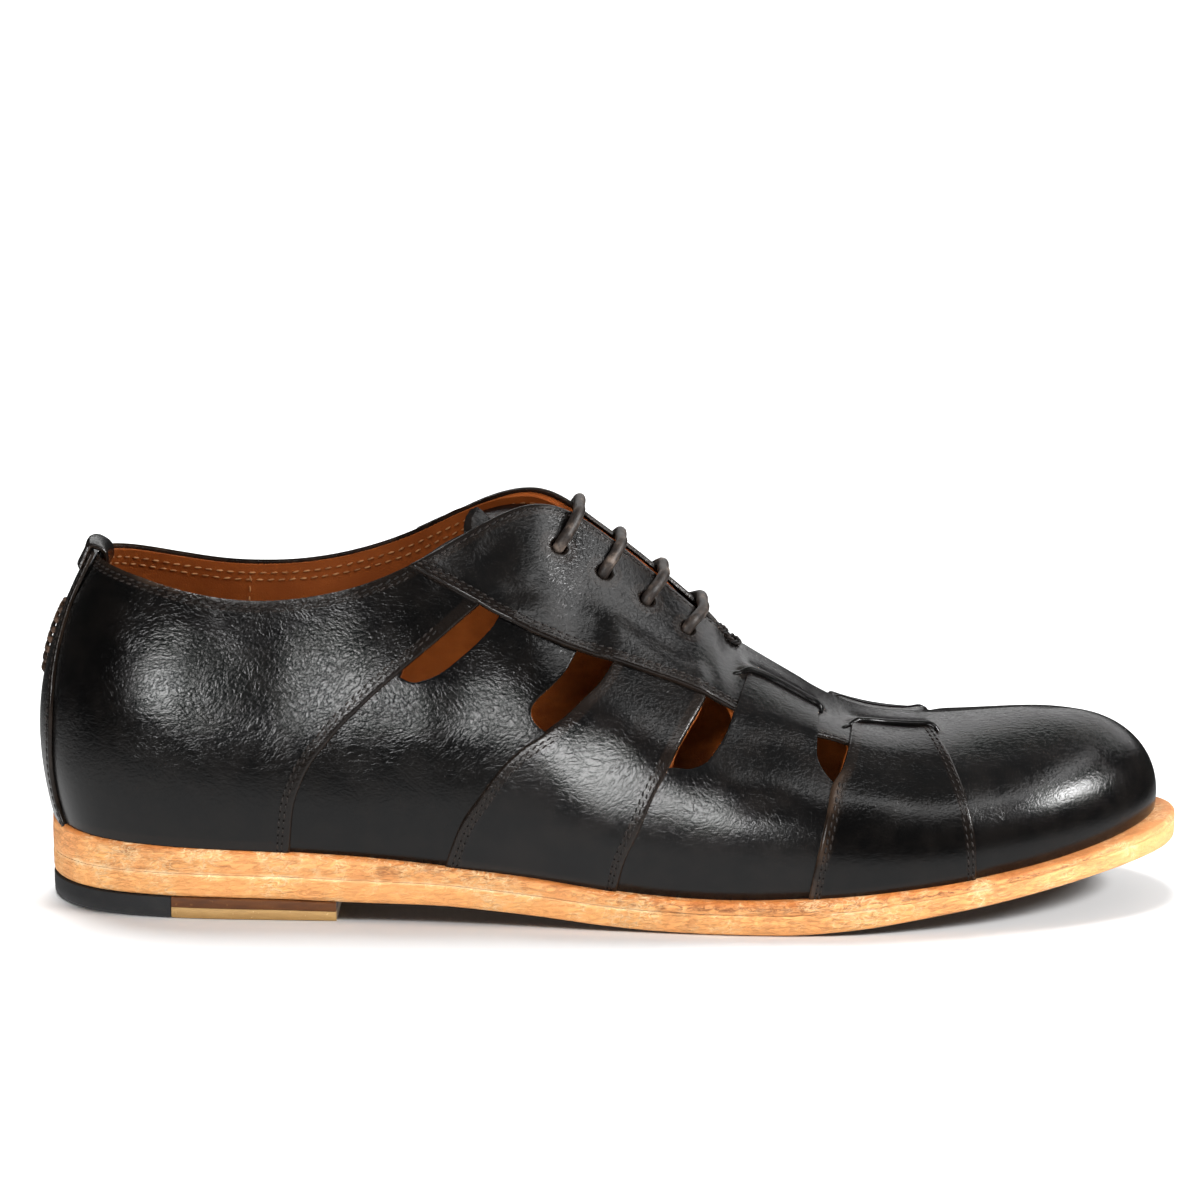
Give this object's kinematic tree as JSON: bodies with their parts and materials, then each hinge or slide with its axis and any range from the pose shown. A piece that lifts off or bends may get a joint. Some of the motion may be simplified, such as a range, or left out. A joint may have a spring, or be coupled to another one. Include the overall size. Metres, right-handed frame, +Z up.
{
  "type": "oxford shoe",
  "caption": "Right lace-up oxford shoe with side cut-outs between leather straps woven through slits on its ridge, on a leather sole with a low stacked heel.",
  "frame": {"origin": "on the floor under the middle of the shoe's box", "axes": "+X to the toe, +Z up, +Y to the inner (medial) side"},
  "size_m": [0.3076, 0.1046, 0.1092],
  "materials": {
    "sole_leather": "burnished tan sole leather",
    "midsole_leather": "burnished tan sole leather",
    "lift_leather": "brown stacked leather",
    "top_piece_leather": "golden stacked leather",
    "heel_rubber": "matte black rubber",
    "lining_leather": "smooth cognac lining leather",
    "upper_leather": "glossy black leather with fine grain",
    "tongue_leather": "glossy black leather with fine grain",
    "overlay_leather": "glossy black leather with fine grain and worn edges",
    "lace_cord": "waxed dark brown round cord"
  },
  "bodies": {
    "root": {"outsole": "sole_leather", "midsole": "midsole_leather", "heel_lift": "lift_leather", "heel_top_piece": "top_piece_leather", "heel_rubber": "heel_rubber", "insole": "lining_leather", "upper": "upper_leather", "tongue": "tongue_leather", "quarter_lateral": "overlay_leather", "quarter_medial": "overlay_leather", "strap_mid_lateral": "overlay_leather", "strap_mid_medial": "overlay_leather", "strap_front_lateral": "overlay_leather", "strap_front_medial": "overlay_leather", "facing": "overlay_leather", "backstay": "overlay_leather", "pull_loop": "overlay_leather", "lace_bar_1": "lace_cord", "lace_bar_2": "lace_cord", "lace_bar_3": "lace_cord", "lace_bar_4": "lace_cord"}
  },
  "joints": []
}
